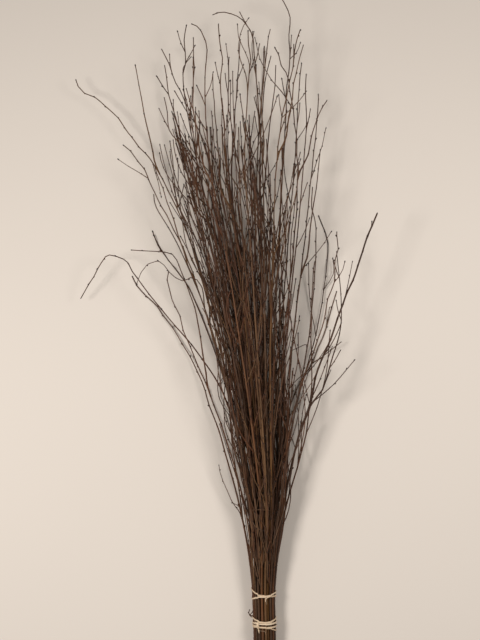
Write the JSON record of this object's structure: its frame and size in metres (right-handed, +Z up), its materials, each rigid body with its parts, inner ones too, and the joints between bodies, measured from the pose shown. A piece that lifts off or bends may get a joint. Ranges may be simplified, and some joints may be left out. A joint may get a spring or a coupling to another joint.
{
  "type": "bundle of twigs",
  "caption": "Tied bundle of long dried birch twigs lying on its side: slim bare stems fanning into a fine brush, cut flat at the butt and bound with pale raffia.",
  "frame": {"origin": "centre of the bounding box's underside, on the surface that the bundle lies on", "axes": "+Y from the cut ends to the tips of the brush, +X to the right seen from above with the tips away, +Z up"},
  "size_m": [0.5122, 1.1554, 0.1241],
  "materials": {
    "bark": "satin",
    "raffia": "matte"
  },
  "bodies": {
    "root": {"stem_01": "bark", "stem_02": "bark", "stem_03": "bark", "stem_04": "bark", "stem_05": "bark", "stem_06": "bark", "stem_07": "bark", "stem_08": "bark", "stem_09": "bark", "stem_10": "bark", "stem_11": "bark", "stem_12": "bark", "stem_13": "bark", "stem_14": "bark", "stem_15": "bark", "stem_16": "bark", "stem_17": "bark", "stem_18": "bark", "stem_19": "bark", "stem_20": "bark", "stem_21": "bark", "stem_22": "bark", "stem_23": "bark", "stem_24": "bark", "stem_25": "bark", "stem_26": "bark", "stem_27": "bark", "stem_28": "bark", "stem_29": "bark", "stem_30": "bark", "stem_31": "bark", "stem_32": "bark", "stem_33": "bark", "stem_34": "bark", "stem_35": "bark", "stem_36": "bark", "stem_37": "bark", "stem_38": "bark", "stem_39": "bark", "stem_40": "bark", "stem_41": "bark", "stem_42": "bark", "branch_01": "bark", "branch_02": "bark", "branch_03": "bark", "branch_04": "bark", "branch_05": "bark", "branch_06": "bark", "branch_07": "bark", "branch_08": "bark", "branch_09": "bark", "branch_10": "bark", "branch_11": "bark", "branch_12": "bark", "branch_13": "bark", "branch_14": "bark", "upper_tie": "raffia", "lower_tie": "raffia"}
  },
  "joints": []
}
